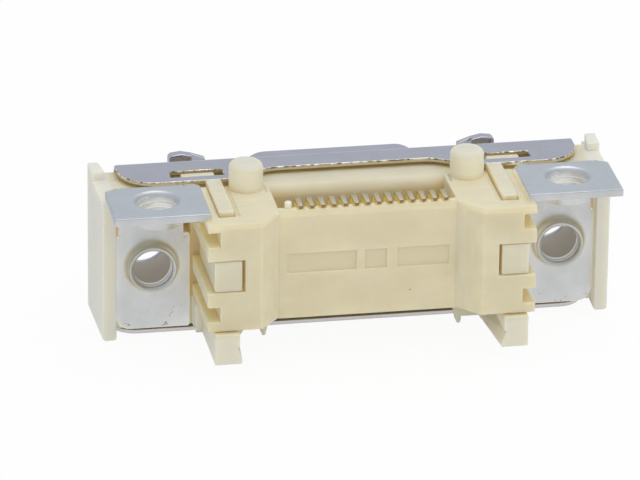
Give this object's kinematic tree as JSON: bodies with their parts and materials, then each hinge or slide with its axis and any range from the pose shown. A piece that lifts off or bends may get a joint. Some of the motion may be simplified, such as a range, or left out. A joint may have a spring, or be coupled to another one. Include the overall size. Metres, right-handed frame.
{
  "type": "mini delta ribbon connector",
  "caption": "Right-angle surface-mount receptacle with a D-shaped metal nose, threaded screw brackets, latch tongues and board pegs.",
  "frame": {"origin": "midway between the two board screw holes, on the face that sits against the board", "axes": "+X along the connector from the left bracket to the right one as seen from behind, +Y out of the mating nose, +Z towards the board"},
  "size_m": [0.0294, 0.0143, 0.0109],
  "materials": {
    "ivory_plastic": "satin moulded",
    "cream_plastic": "satin moulded",
    "nickel_sheet": "nickel plated",
    "tin_sheet": "tin plated",
    "plated_contact": "gold plated with tinned tails"
  },
  "bodies": {
    "root": {"front_housing": "ivory_plastic", "rear_body": "cream_plastic", "front_shell": "nickel_sheet", "left_bracket": "tin_sheet", "right_bracket": "tin_sheet", "contact_01": "plated_contact", "contact_02": "plated_contact", "contact_03": "plated_contact", "contact_04": "plated_contact", "contact_05": "plated_contact", "contact_06": "plated_contact", "contact_07": "plated_contact", "contact_08": "plated_contact", "contact_09": "plated_contact", "contact_10": "plated_contact", "contact_11": "plated_contact", "contact_12": "plated_contact", "contact_13": "plated_contact", "contact_14": "plated_contact"}
  },
  "joints": []
}
